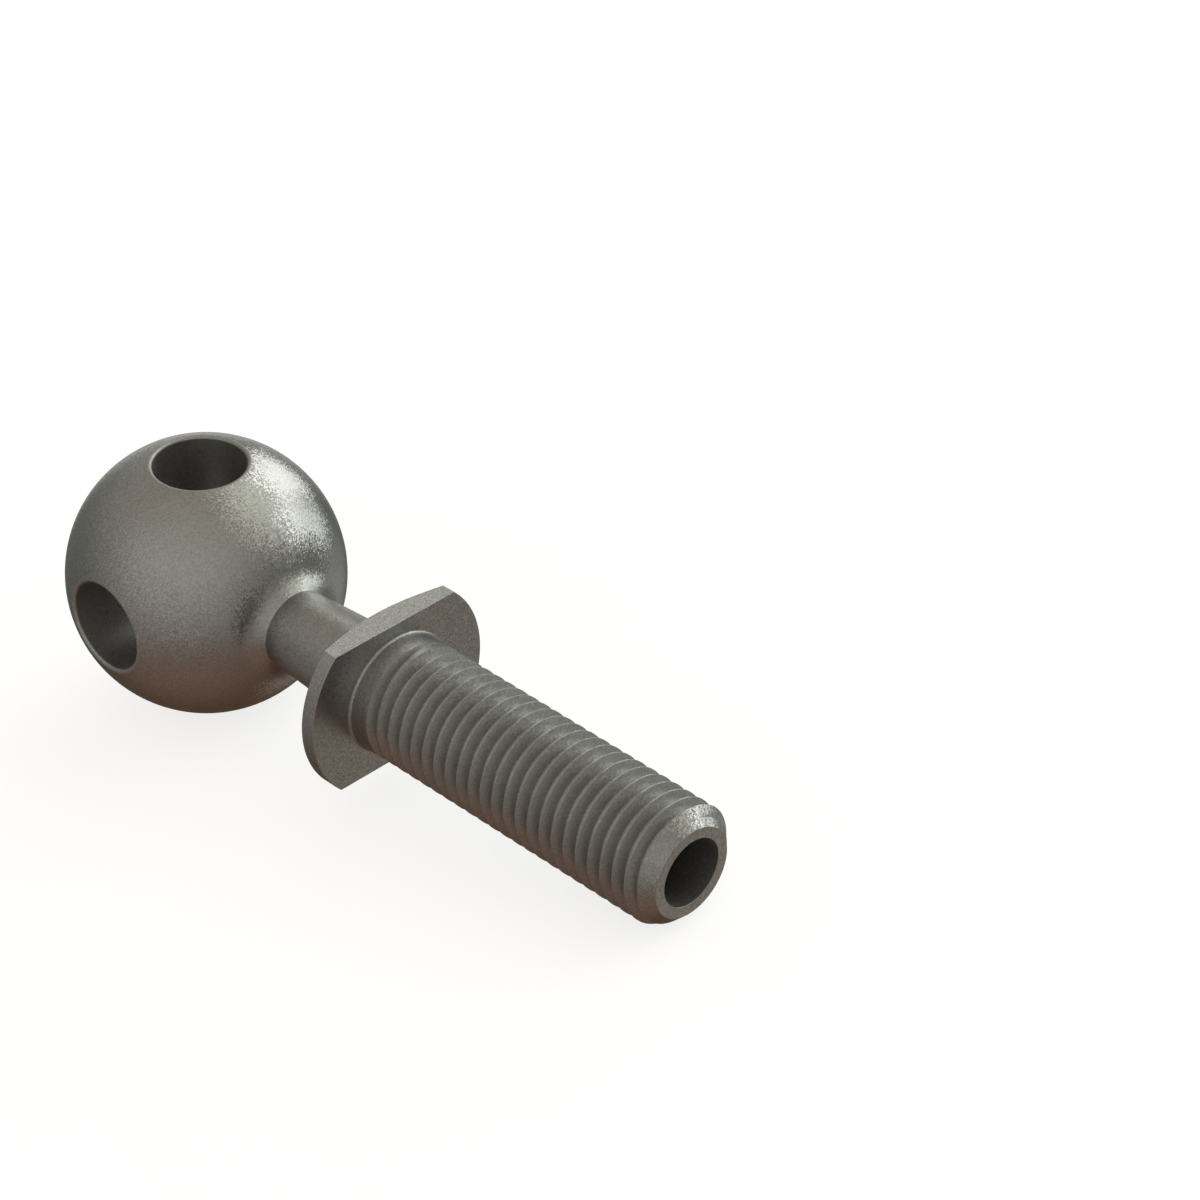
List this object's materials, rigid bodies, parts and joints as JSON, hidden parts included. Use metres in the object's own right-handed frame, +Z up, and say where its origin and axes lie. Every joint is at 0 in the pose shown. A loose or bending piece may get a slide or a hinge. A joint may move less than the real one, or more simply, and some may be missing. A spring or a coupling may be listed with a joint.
{
  "type": "threaded ball stud",
  "caption": "One-piece steel ball stud: drilled ball on a tapered neck, a flange with wrench flats, and a hollow fine-threaded shank, for a ball-and-socket pivot.",
  "frame": {"origin": "centre of the underside of the part's box, on the surface that it lies on", "axes": "+X along the stud from the ball to the thread's end, which points slightly down; +Z up, through the ball's upper hole; +Y across"},
  "size_m": [0.052, 0.0168, 0.0174],
  "materials": {
    "blasted_steel": "dark grey, fine bead-blasted satin"
  },
  "bodies": {
    "root": {"ball_stud": "blasted_steel"}
  },
  "joints": []
}
